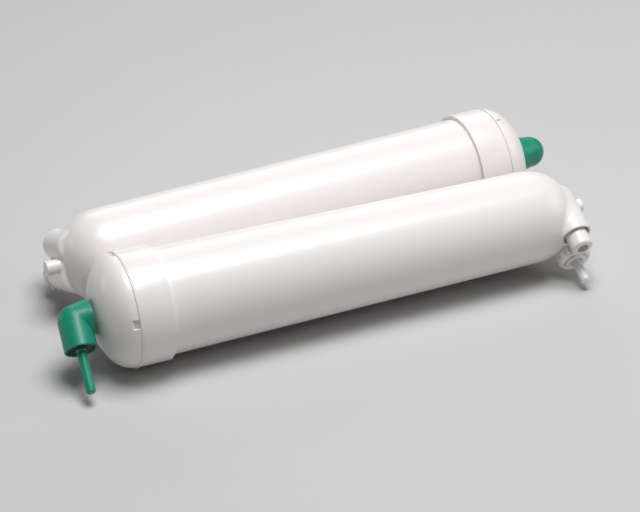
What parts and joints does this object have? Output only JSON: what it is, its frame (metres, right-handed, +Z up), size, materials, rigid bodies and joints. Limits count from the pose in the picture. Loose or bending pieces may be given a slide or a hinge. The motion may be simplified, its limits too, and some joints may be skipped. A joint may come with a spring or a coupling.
{
  "type": "inline water filter",
  "caption": "Pair of sealed inline water filter canisters with a swivelling push-fit elbow at the capped end and two push-fit ports at the closed end.",
  "frame": {"origin": "middle of the pair's footprint, on the surface that the canisters lie on", "axes": "+X along canister A from its elbow to its two-port end, +Y from canister A to canister B, +Z up"},
  "size_m": [0.3516, 0.153, 0.0693],
  "materials": {
    "white_housing": "glossy moulded polypropylene",
    "white_fitting": "glossy moulded acetal",
    "green_fitting": "satin moulded acetal",
    "black_fitting": "glossy moulded acetal",
    "natural_plastic": "unpigmented moulded plastic",
    "carbon": "pressed carbon, matt and fine-grained",
    "fleece": "non-woven fleece",
    "rubber": "matt moulded rubber",
    "steel": "bright stainless steel"
  },
  "bodies": {
    "filter_a": {"filter_a_sump": "white_housing", "filter_a_cap": "white_housing", "filter_a_carbon_block": "carbon", "filter_a_core_tube": "natural_plastic", "filter_a_prefilter_wrap": "fleece", "filter_a_inlet_end_cap": "natural_plastic", "filter_a_outlet_end_cap": "natural_plastic", "filter_a_outlet_seal": "rubber", "filter_a_cartridge_spring": "steel", "filter_a_port_1_grip_ring": "steel", "filter_a_port_1_seal": "rubber", "filter_a_port_2_grip_ring": "steel", "filter_a_port_2_seal": "rubber"},
    "filter_a_elbow": {"filter_a_elbow": "green_fitting", "filter_a_elbow_stem_seal": "rubber", "filter_a_elbow_grip_ring": "steel", "filter_a_elbow_socket_seal": "rubber"},
    "filter_a_elbow_collet": {"filter_a_elbow_collet": "black_fitting"},
    "filter_a_elbow_plug": {"filter_a_elbow_plug": "green_fitting"},
    "filter_a_port_1_collet": {"filter_a_port_1_collet": "white_fitting"},
    "filter_a_port_2_nut": {"filter_a_port_2_nut": "white_fitting"},
    "filter_a_port_2_collet": {"filter_a_port_2_collet": "white_fitting"},
    "filter_a_port_2_plug": {"filter_a_port_2_plug": "white_fitting"},
    "filter_b": {"filter_b_sump": "white_housing", "filter_b_cap": "white_housing", "filter_b_carbon_block": "carbon", "filter_b_core_tube": "natural_plastic", "filter_b_prefilter_wrap": "fleece", "filter_b_inlet_end_cap": "natural_plastic", "filter_b_outlet_end_cap": "natural_plastic", "filter_b_outlet_seal": "rubber", "filter_b_cartridge_spring": "steel", "filter_b_port_1_grip_ring": "steel", "filter_b_port_1_seal": "rubber", "filter_b_port_2_grip_ring": "steel", "filter_b_port_2_seal": "rubber"},
    "filter_b_elbow": {"filter_b_elbow": "green_fitting", "filter_b_elbow_stem_seal": "rubber", "filter_b_elbow_grip_ring": "steel", "filter_b_elbow_socket_seal": "rubber"},
    "filter_b_elbow_collet": {"filter_b_elbow_collet": "black_fitting"},
    "filter_b_elbow_plug": {"filter_b_elbow_plug": "green_fitting"},
    "filter_b_port_1_collet": {"filter_b_port_1_collet": "white_fitting"},
    "filter_b_port_2_nut": {"filter_b_port_2_nut": "white_fitting"},
    "filter_b_port_2_collet": {"filter_b_port_2_collet": "white_fitting"},
    "filter_b_port_2_plug": {"filter_b_port_2_plug": "white_fitting"}
  },
  "joints": [
    {"name": "filter_a_elbow_swivel", "type": "hinge", "parent": "filter_a", "child": "filter_a_elbow", "pos_m": [-0.15465, -0.03526, 0.03467], "axis": [1, 0, 0], "continuous": true},
    {"name": "filter_a_elbow_collet_press", "type": "slide", "parent": "filter_a_elbow", "child": "filter_a_elbow_collet", "axis": [0.0698, 0.807, 0.5864], "range_m": [0, 0.0015]},
    {"name": "filter_a_elbow_plug_pull", "type": "slide", "parent": "filter_a_elbow", "child": "filter_a_elbow_plug", "axis": [-0.0698, -0.807, -0.5864], "range_m": [0, 0.012]},
    {"name": "filter_a_port_1_collet_press", "type": "slide", "parent": "filter_a", "child": "filter_a_port_1_collet", "axis": [0, 0.9063, 0.4226], "range_m": [0, 0.0015]},
    {"name": "filter_a_port_2_nut_turn", "type": "hinge", "parent": "filter_a", "child": "filter_a_port_2_nut", "pos_m": [0.14705, -0.03163, 0.02687], "axis": [0, -0.9063, -0.4226], "range_deg": [0, 270]},
    {"name": "filter_a_port_2_collet_press", "type": "slide", "parent": "filter_a", "child": "filter_a_port_2_collet", "axis": [0, 0.9063, 0.4226], "range_m": [0, 0.0015]},
    {"name": "filter_a_port_2_plug_pull", "type": "slide", "parent": "filter_a", "child": "filter_a_port_2_plug", "axis": [0, -0.9063, -0.4226], "range_m": [0, 0.02]},
    {"name": "filter_b_apart", "type": "slide", "parent": "filter_a", "child": "filter_b", "axis": [0, 1, 0], "range_m": [0, 0.06]},
    {"name": "filter_b_elbow_swivel", "type": "hinge", "parent": "filter_b", "child": "filter_b_elbow", "pos_m": [0.15522, 0.03854, 0.03467], "axis": [-0.9993, -0.0384, 0], "continuous": true},
    {"name": "filter_b_elbow_collet_press", "type": "slide", "parent": "filter_b_elbow", "child": "filter_b_elbow_collet", "axis": [-0.0387, -0.8091, 0.5864], "range_m": [0, 0.0015]},
    {"name": "filter_b_elbow_plug_pull", "type": "slide", "parent": "filter_b_elbow", "child": "filter_b_elbow_plug", "axis": [0.0387, 0.8091, -0.5864], "range_m": [0, 0.012]},
    {"name": "filter_b_port_1_collet_press", "type": "slide", "parent": "filter_b", "child": "filter_b_port_1_collet", "axis": [0.0348, -0.9056, 0.4226], "range_m": [0, 0.0015]},
    {"name": "filter_b_port_2_nut_turn", "type": "hinge", "parent": "filter_b", "child": "filter_b_port_2_nut", "pos_m": [-0.14612, 0.02333, 0.02687], "axis": [-0.0348, 0.9056, -0.4226], "range_deg": [0, 270]},
    {"name": "filter_b_port_2_collet_press", "type": "slide", "parent": "filter_b", "child": "filter_b_port_2_collet", "axis": [0.0348, -0.9056, 0.4226], "range_m": [0, 0.0015]},
    {"name": "filter_b_port_2_plug_pull", "type": "slide", "parent": "filter_b", "child": "filter_b_port_2_plug", "axis": [-0.0348, 0.9056, -0.4226], "range_m": [0, 0.02]}
  ]
}
